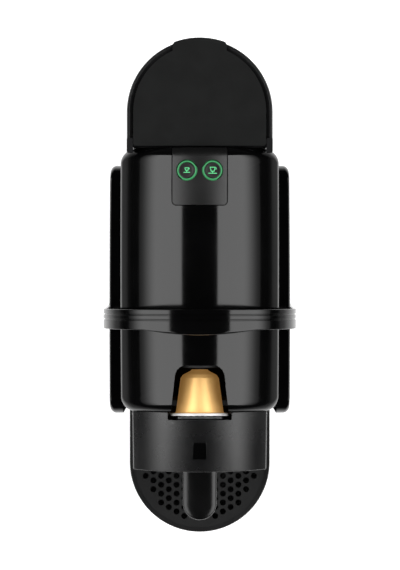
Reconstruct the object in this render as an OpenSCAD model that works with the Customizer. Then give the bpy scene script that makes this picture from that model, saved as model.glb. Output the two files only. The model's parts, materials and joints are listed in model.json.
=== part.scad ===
// Pod coffee machine: lever-operated capsule machine with a lift-off water tank.
// Millimetres. Origin: centre of the footprint on the counter. +Z up, front faces -Y.

/* [Lever] */
// Outer half width of the lever hoop
lever_hw = 59; // [58:0.5:64]
// Thickness of the lever arms
lever_t = 2; // [1.8:0.1:2.4]
// Height of the top of the hoop
lever_top = 243; // [240:1:248]
// Radial thickness of the hoop band at its top
band_t = 4; // [3:0.5:6]
// Width of the hoop band
band_w = 12; // [9:0.2:14]
// Depth of the finger lip on the band
lip_depth = 3; // [2:0.5:6]
// Front-to-back position of the lever pivot
pivot_y = -10; // [-12:0.5:-4]
// Height of the lever pivot
pivot_z = 111; // [105:1:118]
// Travel of the brewing piston, also the length of the crank
stroke = 25; // [20:1:28]
// Height where the hoop's straight sides end
hoop_shoulder = 186; // [182:1:190]
// Squareness of the hoop's arch
hoop_power = 2.4; // [2.3:0.1:3]

/* [Top cover] */
// Half width of the glossy top cover
cover_hw = 48.6; // [46:0.2:50]
// Radius of the cover's arch across the machine
arch_r = 58.4; // [54:0.2:66]
// Radius of the cover's crown along the machine
crown_r = 588; // [400:4:900]
// Highest point of the cover
cover_top = 216; // [212:1:218]
// Wall of the moulded covers
wall = 2.5; // [2:0.1:3]

/* [Body] */
// Half width of the body column
body_hw = 47.5; // [46:0.5:48]
// Outer half width of the side panels
ear_hw = 56.6; // [54:0.1:56.7]
// Lower edge of the side panels
ear_z0 = 58; // [50:1:70]
// Upper edge of the side panels
ear_z1 = 172; // [165:1:176]

/* [Water tank] */
// Outer radius of the tank
tank_r = 44.3; // [42:0.1:46]
// Centre of the tank's round back
tank_cy = 115.6; // [112:0.1:118]
// Height of the tank rim
tank_top = 200; // [190:1:204]
// Wall of the tank
tank_wall = 2.2; // [1.8:0.1:3]

/* [Drip tray] */
// Outer radius of the drip tray
tray_r = 48.4; // [46:0.2:50]
// Centre of the tray's round front
tray_cy = -112.1; // [-116:0.1:-108]
// Height of the tray rim
tray_top = 46; // [40:1:50]
// Radius of the cup support
grid_r = 44.8; // [42:0.1:46]
// Pitch of the drain holes along the machine
hole_pitch = 6.15; // [5:0.05:8]
// Spacing of the columns of drain holes
hole_col = 5.33; // [4.5:0.01:7]
// Radius of a drain hole
hole_r = 2.1; // [1.4:0.1:2.3]

/* [Capsule and buttons] */
// Height of the capsule axis
cap_z = 188; // [184:1:190]
// Radius of the capsule rim
cap_rim_r = 18.5; // [17:0.1:19]
// Distance of a button from the middle of the machine
button_x = 7.8; // [7:0.1:9]
// Front-to-back position of the buttons
button_y = 79.4; // [76:0.2:82]

/* [Hidden] */
$fn = 96;
eps = 0.01;
arch_cz = cover_top - arch_r;
crown_cz = cover_top - crown_r;
crown_y = 25;
cover_corner = 8.5;
cover_y0 = -67;
cover_y1 = 93.7;
front_edge = 6.5;
rear_edge = 7;
ear_y0 = -70;
ear_y1 = 85.5;
body_y1 = 92.5;
head_y1 = -104.5;
head_top = 203;
head_slope = 21;
tank_y0 = 94.2;
lid_y0 = 94.9;
lid_hinge_y = 96.9;
lid_hinge_z = 200.2;
cap_y = -69;
cap_tilt = 4;
spout_r = 10.6;
spout_cy = -128.2;
crank_half = 30;
crank_z = pivot_z + stroke * cos(crank_half);
crank_y = pivot_y + stroke * sin(crank_half);
hinge_y = -78.5;
hinge_z = 48.2;
tube_bend = 5;
button_z = arch_cz + sqrt(pow(arch_r, 2) - pow(button_x, 2))
         - pow(button_y - crown_y, 2) / (2 * crown_r);

// ---- drawing helpers ----

// A (Y, Z) drawing given width along X
module yz(x0, x1) {
  translate([x0, 0, 0]) rotate([90, 0, 90]) linear_extrude(x1 - x0) children();
}

// An (X, Z) drawing given depth along Y
module xz(y0, y1) {
  translate([0, y1, 0]) rotate([90, 0, 0]) linear_extrude(y1 - y0) children();
}

// A box between two corners
module box(a, b) {
  translate(a) cube(b - a);
}

// A round rod along Y
module rod_y(x, z, y0, y1, r) {
  translate([x, y1, z]) rotate([90, 0, 0]) cylinder(r = r, h = y1 - y0);
}

// A round rod along X
module rod_x(y, z, x0, x1, r) {
  translate([x0, y, z]) rotate([0, 90, 0]) cylinder(r = r, h = x1 - x0);
}

// A D outline: round on the far side of cy, straight at y0
module d_outline(r, cy, y0) {
  difference() {
    translate([0, cy]) circle(r);
    translate([-2 * r, y0 < cy ? y0 - 2 * r : y0]) square([4 * r, 2 * r]);
  }
  translate([-r, min(y0, cy)]) square([2 * r, abs(cy - y0)]);
}

// A rectangle with its own radius for the lower and for the upper corners
module rounded(x0, x1, y0, y1, r0, r1) {
  translate([x0, y0 + r0]) square([x1 - x0, y1 - y0 - r0 - r1]);
  translate([x0 + r0, y0]) square([x1 - x0 - 2 * r0, r0 + eps]);
  translate([x0 + r1, y1 - r1 - eps]) square([x1 - x0 - 2 * r1, r1 + eps]);
  for (x = [x0 + r0, x1 - r0]) translate([x, y0 + r0]) circle(r0);
  for (x = [x0 + r1, x1 - r1]) translate([x, y1 - r1]) circle(r1);
}

// A quarter bend of round bar at a corner, from direction u into direction v
module elbow(corner, u, v, r) {
  c = corner + tube_bend * (v - u);
  w = cross(-v, u);
  multmatrix([[-v[0], u[0], w[0], c[0]], [-v[1], u[1], w[1], c[1]],
      [-v[2], u[2], w[2], c[2]], [0, 0, 0, 1]])
    rotate_extrude(angle = 90, $fn = 48) translate([tube_bend, 0]) circle(r);
}

// Round bar along square corners, with a bend at each
module tube_path(points, r) {
  last = len(points) - 1;
  for (i = [0 : last - 1]) {
    run = points[i + 1] - points[i];
    u = run / norm(run);
    lead = i > 0 ? tube_bend : 0;
    tail = i < last - 1 ? tube_bend : 0;
    translate(points[i] + lead * u) rotate([0, acos(u[2]), atan2(u[1], u[0])])
      cylinder(r = r, h = norm(run) - lead - tail, $fn = 48);
    if (i > 0) elbow(points[i], (points[i] - points[i - 1]) / norm(points[i] - points[i - 1]), u, r);
  }
}

module hose(points, r_out, r_in) {
  difference() {
    tube_path(points, r_out);
    tube_path(points, r_in);
  }
}

// ---- outer shapes ----

// The arched and crowned volume of the top cover, inset by i
module cover_volume(i) {
  intersection() {
    translate([0, crown_y, crown_cz]) rotate([0, -90, 0]) rotate([0, 0, -10])
      rotate_extrude(angle = 20) intersection() {
        translate([arch_cz - crown_cz, 0]) circle(arch_r - i);
        translate([arch_cz - crown_cz - 10, -cover_hw + i])
          square([arch_r + 20, 2 * (cover_hw - i)]);
      }
    translate([0, 0, ear_z1]) linear_extrude(60)
      rounded(-cover_hw + i, cover_hw - i, cover_y0 + i, cover_y1 - i, cover_corner - i,
        cover_corner - i);
  }
}

// Height of the centre of an edge of radius r that meets the crown smoothly at y
function edge_z(y, r) = crown_cz + sqrt(pow(crown_r - r, 2) - pow(y - crown_y, 2));

// The side view of the cover, with its rounded front and rear edges
module cover_side() {
  y0 = cover_y0 + front_edge;
  y1 = cover_y1 - rear_edge;
  z0 = edge_z(y0, front_edge);
  z1 = edge_z(y1, rear_edge);
  translate([y0, 160]) square([y1 - y0, 60]);
  translate([cover_y0, 160]) square([front_edge + eps, z0 - 160]);
  translate([y1 - eps, 160]) square([rear_edge + eps, z1 - 160]);
  translate([y0, z0]) circle(front_edge);
  translate([y1, z1]) circle(rear_edge);
}

// The top cover's moulded shell
module cover_shell() {
  difference() {
    intersection() {
      cover_volume(0);
      yz(-60, 60) cover_side();
    }
    cover_volume(wall);
    box([-cover_hw + wall, cover_y0 + wall, 160], [cover_hw - wall, cover_y1 - wall, 178]);
  }
}

// Plan of the button panel, inset by i
module panel_plan(i) {
  rounded(-16.95 + i, 16.95 - i, 58 + i, 100, 3, 3);
}

// Plan of the bell-shaped opening that takes the capsule
module slot_plan() {
  flare = 7;
  r = 7;
  y = -45;
  side_x = 7.85 + r * cos(flare);
  side_y = y + r * sin(flare);
  front_x = side_x + (side_y + 75) * tan(flare);
  for (s = [-1, 1]) translate([s * 7.85, y]) circle(r);
  polygon([[-front_x, -75], [front_x, -75], [side_x, side_y], [7.85, y + r],
    [-7.85, y + r], [-side_x, side_y]]);
}

// The sloping arched volume of the head, inset by i
module head_volume(i) {
  intersection() {
    translate([0, cover_y0 + arch_r * sin(head_slope), head_top - arch_r * cos(head_slope)])
      rotate([90 + head_slope, 0, 0]) cylinder(r = arch_r - i, h = 260, center = true);
    box([-41.5 + i, head_y1 + i, 134 + i], [41.5 - i, -67.2 + (i > 0 ? 5 : 0), 220]);
  }
}

// The lever's hoop outline: straight sides closed by a squarish arch
module hoop(hw, top, bottom) {
  polygon(concat(
    [for (a = [0 : 4 : 180]) [
      hw * sign(cos(a)) * pow(abs(cos(a)), 2 / hoop_power),
      hoop_shoulder + (top - hoop_shoulder) * pow(sin(a), 2 / hoop_power)]],
    [[-hw, bottom], [hw, bottom]]));
}

// A piece drawn about the capsule: axis along Z from the foil, tilted nose down
module at_capsule() {
  translate([0, cap_y, cap_z]) rotate([-90 - cap_tilt, 0, 0]) children();
}

// A piece drawn about a button's centre, square to the cover there
module at_button(side) {
  translate([side * button_x, button_y, button_z]) rotate([-5.3, side * 7.7, 0]) children();
}

// ---- body ----

module base_chassis() {
  color([0.09, 0.09, 0.1]) difference() {
    union() {
      box([-body_hw, -60, 4], [body_hw, body_y1, 58]);
      translate([0, 0, 4]) linear_extrude(14) d_outline(43, tank_cy, body_y1 - 1);
    }
    box([-45, -61, 7], [45, 12, 60]);
    box([-45, 14.5, 7], [45, body_y1 - 2.5, 60]);
    translate([0, 0, 7]) linear_extrude(8) difference() {
      d_outline(40.5, tank_cy, body_y1 + 2.5);
      translate([0, tank_cy]) circle(15);
      translate([-15, body_y1]) square([30, tank_cy - body_y1]);
    }
    translate([0, tank_cy, 9]) cylinder(r = 12.2, h = 10);
    rod_y(0, 12, 80, tank_cy - 3, 3.6);
    translate([0, tank_cy, 9]) sphere(3.2);
    for (x = [-40, 40], y = [22, 78]) translate([x, y, 3]) {
      cylinder(r = 1.7, h = 5);
      cylinder(r = 3.8, h = 2.5);
    }
    translate([0, tank_cy, 11]) rotate([0, 90, 45]) cylinder(r = 4.6, h = 60);
  }
}

module rubber_feet() {
  color([0.05, 0.05, 0.05])
    for (p = [[-36, -48], [36, -48], [-27, 134], [27, 134]]) translate([p[0], p[1], 0]) {
      cylinder(r = 6, h = 4);
    }
}

module body_shell() {
  color([0.07, 0.07, 0.08]) difference() {
    union() {
      translate([0, 0, 58]) linear_extrude(113.5) difference() {
        rounded(-body_hw, body_hw, -64, body_y1, 6, 6);
        rounded(-45, 45, -61.5, body_y1 - 2.5, 3.5, 3.5);
      }
      box([-44, 14.5, 60], [44, body_y1 - 2.5 + eps, 62]);
      box([-45 - eps, 14.5, 60], [45 + eps, body_y1 - 7, 62]);
      box([-45 - eps, 18.5, 152], [45 + eps, 60, 154.5]);
      box([-38, 18.5, 154], [38, 21, 194]);
      for (x = [-40, 40], y = [22, 78]) translate([x, y, 7.2]) cylinder(r = 4, h = 53);
      for (y = [26, 74], z = [72, 146]) rod_x(y, z, -45.5, -42, 3);
    }
    box([-22.5, -65, 134], [22.5, -60, 172]);
    rod_x(pivot_y, pivot_z, -50, 50, 8);
    for (x = [-40, 40], y = [22, 78]) translate([x, y, 7]) cylinder(r = 1.5, h = 12);
    for (y = [26, 74], z = [72, 146]) rod_x(y, z, -45, -41, 1.2);
    translate([31, 82, 59]) cylinder(r = 3.6, h = 4);
    rod_y(0, cap_z, 18, 22, 2.6);
  }
}

module top_cover() {
  color([0.02, 0.02, 0.02]) difference() {
    cover_shell();
    translate([0, 0, 165]) linear_extrude(60) slot_plan();
    translate([0, 0, 203]) linear_extrude(20) panel_plan(0);
  }
}

// One hollow side panel, open towards the body
module side_panel() {
  difference() {
    yz(48, ear_hw) rounded(ear_y0, ear_y1, ear_z0, ear_z1, 32, 12);
    yz(47.9, ear_hw - 2) rounded(ear_y0 + 2, ear_y1 - 2, ear_z0 + 2, ear_z1 - 2, 30, 10);
    rod_x(pivot_y, pivot_z, 47, 60, 7);
  }
}

module left_side_panel() {
  color([0.02, 0.02, 0.02]) mirror([1, 0, 0]) side_panel();
}

module right_side_panel() {
  color([0.02, 0.02, 0.02]) side_panel();
}

module front_head_cover() {
  color([0.1, 0.1, 0.1]) difference() {
    head_volume(0);
    head_volume(wall);
    box([-19.5, -71.8, 160], [19.5, -60, 220]);
    box([-39, -72, 136.5], [39, -60, 160]);
    box([-10.9, -112, 131], [10.9, -100, 152.6]);
    box([-14, -100, 133], [14, -90, 137]);
  }
}

// A blank raised plate on the head
module head_badge() {
  color([0.03, 0.03, 0.03]) intersection() {
    difference() {
      head_volume(-0.5);
      head_volume(0);
    }
    translate([0, 0, 150]) linear_extrude(60) rounded(-4.4, 4.4, -96.6, -86, 0.6, 0.6);
  }
}

module spout_plan(r) {
  translate([0, spout_cy]) circle(r);
  translate([-r, spout_cy]) square([2 * r, -102.5 - spout_cy]);
}

module coffee_spout() {
  color([0.03, 0.03, 0.03]) difference() {
    union() {
      translate([0, 0, 132]) linear_extrude(20) spout_plan(spout_r);
      translate([0, spout_cy, 128]) cylinder(r = 5, h = 5);
    }
    translate([0, 0, 134.5]) linear_extrude(15) spout_plan(spout_r - 2.3);
    translate([0, spout_cy, 127]) cylinder(r = 3.4, h = 9);
    box([-8, -106, 134.5], [8, -102, 149.5]);
  }
}

// Carries the coffee from the extraction plate to the spout
module coffee_funnel() {
  color([0.12, 0.12, 0.12]) difference() {
    union() {
      box([-12, -82, 158], [12, -74, 183]);
      box([-6, -80, 138], [6, -74, 159]);
      box([-6, -102, 138], [6, -74, 146]);
    }
    box([-10.5, -80.5, 159.5], [10.5, -73, 181.5]);
    box([-4.5, -78.5, 139.5], [4.5, -75.5, 160]);
    box([-4.5, -104, 139.5], [4.5, -75.5, 144.5]);
  }
}

module capsule_guide() {
  color([0.1, 0.1, 0.1]) difference() {
    at_capsule() box([-22, 0, -0.9], [22, 28, 1.2]);
    at_capsule() cylinder(r = cap_rim_r + 0.4, h = 8, center = true);
  }
}

module extraction_plate() {
  color([0.55, 0.55, 0.56]) at_capsule() intersection() {
    union() {
      translate([0, 0, -2.9]) cylinder(r = 15, h = 1.5);
      for (i = [-3 : 3], j = [-3 : 3])
        if (i * i + j * j < 11) translate([i * 3.6, 2 + j * 3.6, -1.5]) cylinder(r = 0.9, h = 0.4);
    }
    box([-19, -7.5, -3], [19, 20, 0]);
  }
}

module drop_chute() {
  color([0.1, 0.1, 0.1]) difference() {
    box([-24, -61, 60], [24, -26, 162]);
    box([-22.5, -59.5, 59], [22.5, -27.5, 167]);
  }
}

// Steel rods that the piston carriage runs on
module guide_rods() {
  color([0.7, 0.7, 0.7]) for (x = [-27, 27]) rod_y(x, 168, -61.5, 18.5, 2);
}

// ---- control panel and electrics ----

module button_panel() {
  color([0.08, 0.08, 0.08]) difference() {
    intersection() {
      cover_shell();
      translate([0, 0, 203.4]) linear_extrude(20) panel_plan(0.3);
    }
    for (s = [-1, 1]) at_button(s) cylinder(r = 6.4, h = 30, center = true);
  }
}

// Light guide that stands on the button board and shows as a ring
module light_ring(s) {
  at_button(s) difference() {
    translate([0, 0, -13.5]) cylinder(r = 5.75, h = 13.5);
    translate([0, 0, -14]) cylinder(r = 5.05, h = 15);
  }
}

module espresso_light_ring() {
  color([0.1, 0.6, 0.25]) light_ring(-1);
}

module lungo_light_ring() {
  color([0.1, 0.6, 0.25]) light_ring(1);
}

module button_board() {
  color([0.1, 0.35, 0.15]) {
    box([-16, 60, 196], [16, 85.5, 197.6]);
    for (s = [-1, 1]) translate([s * button_x * 0.82, button_y - 0.9, 197.6 - eps])
      cylinder(r = 2.6, h = 4.4);
  }
}

module main_board() {
  color([0.1, 0.35, 0.15]) {
    box([-42, 20, 66], [-40.4, 82, 151]);
    box([-40.5, 30, 112], [-26, 46, 132]);
    box([-40.5, 52, 120], [-22, 72, 142]);
    rod_x(36, 96, -40.5, -28, 5);
    rod_x(50, 96, -40.5, -28, 5);
    rod_x(64, 100, -40.5, -24, 8);
  }
}

module board_screws() {
  color([0.7, 0.7, 0.7]) for (y = [26, 74], z = [72, 146]) {
    rod_x(y, z, -40.4, -39, 2.2);
    rod_x(y, z, -44.5, -42, 1.15);
  }
}

module housing_screws() {
  color([0.7, 0.7, 0.7]) for (x = [-40, 40], y = [22, 78]) translate([x, y, 4.2]) {
    cylinder(r = 3.4, h = 1.3);
    cylinder(r = 1.45, h = 13);
  }
}

// ---- water and heat ----

module thermoblock() {
  color([0.6, 0.6, 0.62]) difference() {
    union() {
      box([-22, 24, 156], [22, 56, 199]);
      for (x = [-18, 18], y = [28, 52]) translate([x, y, 154.5]) cylinder(r = 3, h = 2);
    }
    for (i = [0 : 4]) for (s = [-1, 1])
      box([s < 0 ? -23 : 20, 28 + i * 5.5, 160], [s < 0 ? -20 : 23, 30.5 + i * 5.5, 195]);
    rod_y(0, cap_z, 20, 34, 2.5);
  }
}

module thermal_fuses() {
  color([0.75, 0.75, 0.7]) for (x = [-8, 8]) rod_y(x, 201.5, 30, 44, 2.5);
}

module injector_pipe() {
  color([0.7, 0.7, 0.7]) difference() {
    rod_y(0, cap_z, -9.5, 34, 2.5);
    rod_y(0, cap_z, -10, 35, 1.2);
  }
}

module water_pump() {
  color([0.3, 0.3, 0.32]) {
    rod_y(0, 84, 24, 62, 14);
    box([-18, 30, 66], [18, 58, 102]);
    rod_y(0, 84, 61, 72, 5);
    rod_y(0, 84, 17, 25, 4);
  }
}

module pump_mounts() {
  color([0.06, 0.06, 0.06])
    for (x = [-12, 12], y = [35, 53]) translate([x, y, 62]) cylinder(r = 4.5, h = 4);
}

module flow_meter() {
  color([0.8, 0.8, 0.78]) {
    difference() {
      union() {
        translate([31, 63, 62]) cylinder(r = 10.5, h = 15);
        rod_y(31, 69, 50, 75.5, 2.6);
      }
      translate([31, 63, 64.5]) cylinder(r = 8.8, h = 10);
      rod_y(31, 69, 49, 80, 1.5);
    }
    translate([31, 63, 64]) cylinder(r = 1, h = 11);
  }
}

module flow_rotor() {
  color([0.85, 0.3, 0.2]) translate([31, 63, 66.5]) difference() {
    union() {
      cylinder(r = 3, h = 6);
      for (a = [0 : 60 : 300]) rotate([0, 0, a]) box([2, -0.5, 0], [7.6, 0.5, 6]);
    }
    translate([0, 0, -1]) cylinder(r = 1.06, h = 8);
  }
}

module inlet_tube() {
  color([0.85, 0.85, 0.82])
    hose([[0, 103, 12], [0, 82, 12], [31, 82, 12], [31, 82, 69], [31, 75.5, 69]], 3, 1.8);
}

module pump_tube() {
  color([0.85, 0.85, 0.82])
    hose([[31, 50, 69], [31, 11, 69], [31, 11, 84], [0, 11, 84], [0, 17, 84]], 3, 1.8);
}

module pressure_tube() {
  color([0.9, 0.9, 0.88])
    hose([[0, 72, 84], [0, 80, 84], [0, 80, 172], [0, 56, 172]], 2.5, 1.2);
}

// Stub that the tank's valve sits on; its centre pin opens the poppet
module dock_spigot() {
  color([0.12, 0.12, 0.12]) translate([0, tank_cy, 9]) difference() {
    union() {
      cylinder(r = 7, h = 2);
      cylinder(r = 1.5, h = 4.8);
    }
    for (a = [0 : 60 : 300]) rotate([0, 0, a]) translate([4.2, 0, -1])
      cylinder(r = 1.2, h = 4, $fn = 24);
  }
}

module dock_seal() {
  color([0.05, 0.05, 0.05]) translate([0, tank_cy, 9]) difference() {
    cylinder(r = 12, h = 2.6);
    translate([0, 0, -1]) cylinder(r = 9, h = 5);
  }
}

module cord_gland() {
  color([0.05, 0.05, 0.05]) translate([0, tank_cy, 11]) rotate([0, 90, 45]) difference() {
    union() {
      translate([0, 0, 39.5]) cylinder(r = 4.5, h = 4.2);
      translate([0, 0, 38]) cylinder(r = 4, h = 2);
    }
    translate([0, 0, 36]) cylinder(r = 3, h = 10);
  }
}

// ---- lever and brewing mechanism ----

module pivot_bushes() {
  color([0.85, 0.85, 0.82]) for (s = [-1, 1]) difference() {
    rod_x(pivot_y, pivot_z, s < 0 ? -47.9 : 43.5, s < 0 ? -43.5 : 47.9, 8);
    rod_x(pivot_y, pivot_z, -60, 60, 5.06);
  }
}

// Side view of the lever: an eye at the pivot, a tapering arm and the band
module lever_side() {
  translate([pivot_y, pivot_z]) circle(9.5);
  polygon([[pivot_y - 9.4, pivot_z], [pivot_y + 9.4, pivot_z],
    [pivot_y + 7, pivot_z + 35], [pivot_y + band_w / 2, 195], [pivot_y + band_w / 2, 260],
    [pivot_y - band_w / 2, 260], [pivot_y - band_w / 2, 195], [pivot_y - 7, pivot_z + 35]]);
}

module hoop_ring() {
  difference() {
    hoop(lever_hw, lever_top, pivot_z - 12);
    hoop(lever_hw - lever_t, lever_top - band_t, pivot_z - 14);
  }
}

module lever_handle() {
  color([0.04, 0.04, 0.04]) {
    difference() {
      intersection() {
        xz(pivot_y - 12, pivot_y + 12) hoop_ring();
        yz(-61, 61) lever_side();
      }
      for (d = [-0.15, 2.8]) xz(pivot_y + d - 0.45, pivot_y + d + 0.45) difference() {
        hoop(lever_hw + 1, lever_top + 1, 150);
        hoop(lever_hw - 0.6, lever_top - 0.6, 149);
      }
    }
    // Finger lip
    intersection() {
      xz(pivot_y - band_w / 2 - lip_depth, pivot_y - band_w / 2 + eps) intersection() {
        hoop_ring();
        translate([-40, 215]) square([80, 40]);
      }
      translate([0, pivot_y - band_w / 2 - lip_depth + 185, 205])
        cylinder(r = 185, h = 50, $fn = 360);
    }
  }
}

// Cross shaft with the two cranks that drive the piston
module lever_shaft() {
  color([0.65, 0.65, 0.66]) {
    rod_x(pivot_y, pivot_z, -lever_hw + lever_t, lever_hw - lever_t, 5);
    for (s = [-1, 1]) {
      translate([s < 0 ? -38.5 : 35.5, pivot_y, pivot_z]) rotate([-crank_half, 0, 0])
        union() {
          translate([0, -5, 0]) cube([3, 10, stroke]);
          rod_x(0, 0, 0, 3, 9);
          rod_x(0, stroke, 0, 3, 5);
        }
      rod_x(crank_y, crank_z, s < 0 ? -36 : 29.5, s < 0 ? -29.5 : 36, 2.5);
    }
  }
}

// Capsule cage and carriage
module brew_piston() {
  color([0.15, 0.15, 0.16]) difference() {
    union() {
      rod_y(0, cap_z, -39, -10, 17);
      rod_y(0, cap_z, -10 - eps, 17.5, 5);
      box([-33, -13, 182], [33, -6, 194]);
      for (s = [-1, 1]) {
        box([s < 0 ? -33 : 30, -10, 126], [s < 0 ? -30 : 33, 12, 194]);
        rod_y(s * 27, 168, -10, 8, 4.5);
      }
    }
    translate([0, -39 - eps, cap_z]) rotate([-90, 0, 0]) cylinder(r1 = 15.4, r2 = 13.3, h = 26);
    rod_y(0, cap_z, -15, 20, 2.56);
    for (x = [-27, 27]) rod_y(x, 168, -20, 20, 2.06);
    for (s = [-1, 1])
      box([s < 0 ? -34 : 29, crank_y - 2.9, crank_z - 2.9],
        [s < 0 ? -29 : 34, crank_y + 2.9, pivot_z + stroke + 2.9]);
  }
}

// Thin plate that closes the capsule opening as the piston comes forward
module slot_shutter() {
  color([0.05, 0.05, 0.05]) {
    xz(-38.5, -6) intersection() {
      difference() {
        translate([0, 206.4 - 55]) circle(55);
        translate([0, 206.4 - 55]) circle(54);
      }
      translate([-20, 195]) square([40, 20]);
    }
    for (x = [-12, 12]) box([x - 1, -9.9, 194], [x + 1, -6.1, 204.3]);
  }
}

module piercing_blades() {
  color([0.75, 0.75, 0.75]) for (a = [90, 210, 330])
    translate([6 * cos(a), -13 - eps, cap_z + 6 * sin(a)]) rotate([90, 0, 0])
      cylinder(r1 = 1.3, r2 = 0.3, h = 2.8, $fn = 32);
}

module cage_seal() {
  color([0.2, 0.2, 0.2]) translate([0, -39, cap_z]) rotate([90, 0, 0]) difference() {
    cylinder(r = 16.8, h = 0.8);
    translate([0, 0, -1]) cylinder(r = 15.4, h = 3);
  }
}

// ---- buttons ----

module button_cap(s) {
  at_button(s) {
    translate([0, 0, -3.2]) cylinder(r = 4.92, h = 3);
    translate([0, 0, -9]) cylinder(r = 2, h = 6);
  }
}

// Cup outline set into a button: rim width w, height h
module cup_icon(s, w, h) {
  at_button(s) translate([0, 0, -0.2]) linear_extrude(0.12) {
    translate([-0.5, 0.4]) difference() {
      union() {
        translate([-w / 2, 0]) square([w, h / 2]);
        circle(w / 2);
      }
      union() {
        translate([-w / 2 + 0.4, 0]) square([w - 0.8, h / 2 - 0.4]);
        circle(w / 2 - 0.4);
      }
    }
    translate([w / 2 - 0.1, 0.6]) difference() {
      circle(w / 4 + 0.2);
      circle(w / 4 - 0.2);
      translate([-w, -w]) square([w - 0.4, 2 * w]);
    }
  }
}

module espresso_button() {
  color([0.03, 0.03, 0.03]) button_cap(-1);
}

module espresso_icon() {
  color([0.2, 0.75, 0.35]) cup_icon(-1, 3, 1.6);
}

module lungo_button() {
  color([0.03, 0.03, 0.03]) button_cap(1);
}

module lungo_icon() {
  color([0.2, 0.75, 0.35]) cup_icon(1, 4, 2.6);
}

// ---- water tank ----

module water_tank() {
  color([0.25, 0.25, 0.27, 0.5]) difference() {
    union() {
      translate([0, 0, 20]) linear_extrude(tank_top - 20) d_outline(tank_r, tank_cy, tank_y0);
      // Lugs that hold the lid's pins
      for (s = [-1, 1])
        box([s < 0 ? -tank_r : 40.6, 90.8, 196.6], [s < 0 ? -40.6 : tank_r, 99.5, 202]);
    }
    translate([0, 0, 22.5]) linear_extrude(173)
      d_outline(tank_r - tank_wall, tank_cy, tank_y0 + tank_wall);
    translate([0, 0, 195]) linear_extrude(10) d_outline(tank_r - 3.7, tank_cy, tank_y0 - 5);
    rod_x(lid_hinge_y, lid_hinge_z, -43, 43, 0.93);
    translate([0, tank_cy, 19]) cylinder(r = 8, h = 5);
  }
}

module tank_valve() {
  color([0.1, 0.1, 0.1]) translate([0, tank_cy, 0]) difference() {
    union() {
      translate([0, 0, 12]) cylinder(r = 7.95, h = 18);
      translate([0, 0, 22.5]) cylinder(r = 11, h = 1.5);
    }
    translate([0, 0, 11]) cylinder(r = 5, h = 10);
    translate([0, 0, 20]) cylinder(r = 3, h = 3);
    translate([0, 0, 22]) cylinder(r = 5.2, h = 7);
    for (a = [0 : 60 : 300]) rotate([0, 0, a]) translate([0, 0, 27]) rotate([0, 90, 0])
      cylinder(r = 1.3, h = 10, $fn = 24);
  }
}

module tank_filter() {
  color([0.8, 0.8, 0.78]) translate([0, tank_cy, 24]) difference() {
    cylinder(r = 10.5, h = 12);
    translate([0, 0, -1]) cylinder(r = 9.3, h = 12);
    for (a = [0 : 30 : 330]) rotate([0, 0, a]) box([8, -0.8, 2], [12, 0.8, 9]);
  }
}

module valve_poppet() {
  color([0.85, 0.85, 0.85]) translate([0, tank_cy, 0]) {
    translate([0, 0, 14]) cylinder(r = 2, h = 11.5);
    translate([0, 0, 25.2]) cylinder(r = 4.6, h = 1.4);
  }
}

module valve_spring() {
  color([0.75, 0.75, 0.75]) translate([0, tank_cy, 0]) for (z = [27, 27.8, 28.6])
    translate([0, 0, z]) rotate_extrude() translate([3.4, 0]) circle(0.35, $fn = 24);
}

module tank_lid() {
  color([0.15, 0.15, 0.15]) {
    translate([0, 0, 199]) linear_extrude(1.4) d_outline(40.3, tank_cy, lid_y0);
    translate([0, 0, 200.4]) linear_extrude(1.9) {
      d_outline(40.3, tank_cy, lid_y0);
      intersection() {
        translate([0, tank_cy]) circle(44.9);
        translate([-16.4, tank_cy + 30]) square([32.8, 20]);
      }
    }
  }
}

module lid_pins() {
  color([0.5, 0.5, 0.5]) for (s = [-1, 1])
    rod_x(lid_hinge_y, lid_hinge_z, s < 0 ? -42.6 : 40.3, s < 0 ? -40.3 : 42.6, 0.9);
}

// ---- drip tray and cup support ----

module drip_tray() {
  color([0.06, 0.06, 0.07]) difference() {
    union() {
      translate([0, 0, 1.2]) linear_extrude(tray_top - 1.2) d_outline(tray_r, tray_cy, -61);
      box([-44, -62, 8], [44, -2, 20]);
      box([-tray_r, -74, tray_top - eps], [tray_r, -64.5, 50]);
    }
    translate([0, 0, 4]) linear_extrude(50) difference() {
      d_outline(tray_r - 4, tray_cy, -66);
      translate([-50, -75]) square([100, 20]);
    }
    box([-44.4, -76, 4], [44.4, -64, 44]);
    box([-42, -65, 10.5], [42, -4, 21]);
    rod_x(hinge_y, hinge_z, -47.1, 47.1, 1.03);
    box([-45.2, hinge_y - 5, 44], [45.2, -74, 51]);
  }
}

module used_capsule_container() {
  color([0.09, 0.09, 0.1]) difference() {
    box([-40, -60.5, 10.7], [40, -4.5, 56]);
    box([-38.2, -58.7, 12.5], [38.2, -6.3, 57]);
  }
}

module cup_support() {
  color([0.13, 0.13, 0.14]) difference() {
    union() {
      translate([0, 0, 46.6]) linear_extrude(3.4) d_outline(grid_r, tray_cy, -76.6);
      rod_x(hinge_y, hinge_z, -grid_r, grid_r, 1.9);
    }
    for (c = [-7 : 7], k = [-6 : 6]) {
      y = (c % 2 == 0 ? -12.3 : -9.2) - hole_pitch * k;
      if (norm([c * hole_col, y]) < 39.4 && y + tray_cy < -83)
        translate([c * hole_col, tray_cy + y, 46]) cylinder(r = hole_r, h = 5, $fn = 24);
    }
    rod_x(hinge_y, hinge_z, -50, 50, 1.05);
  }
}

module cup_support_pin() {
  color([0.7, 0.7, 0.7]) rod_x(hinge_y, hinge_z, -47, 47, 1);
}

// ---- capsule ----

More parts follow.
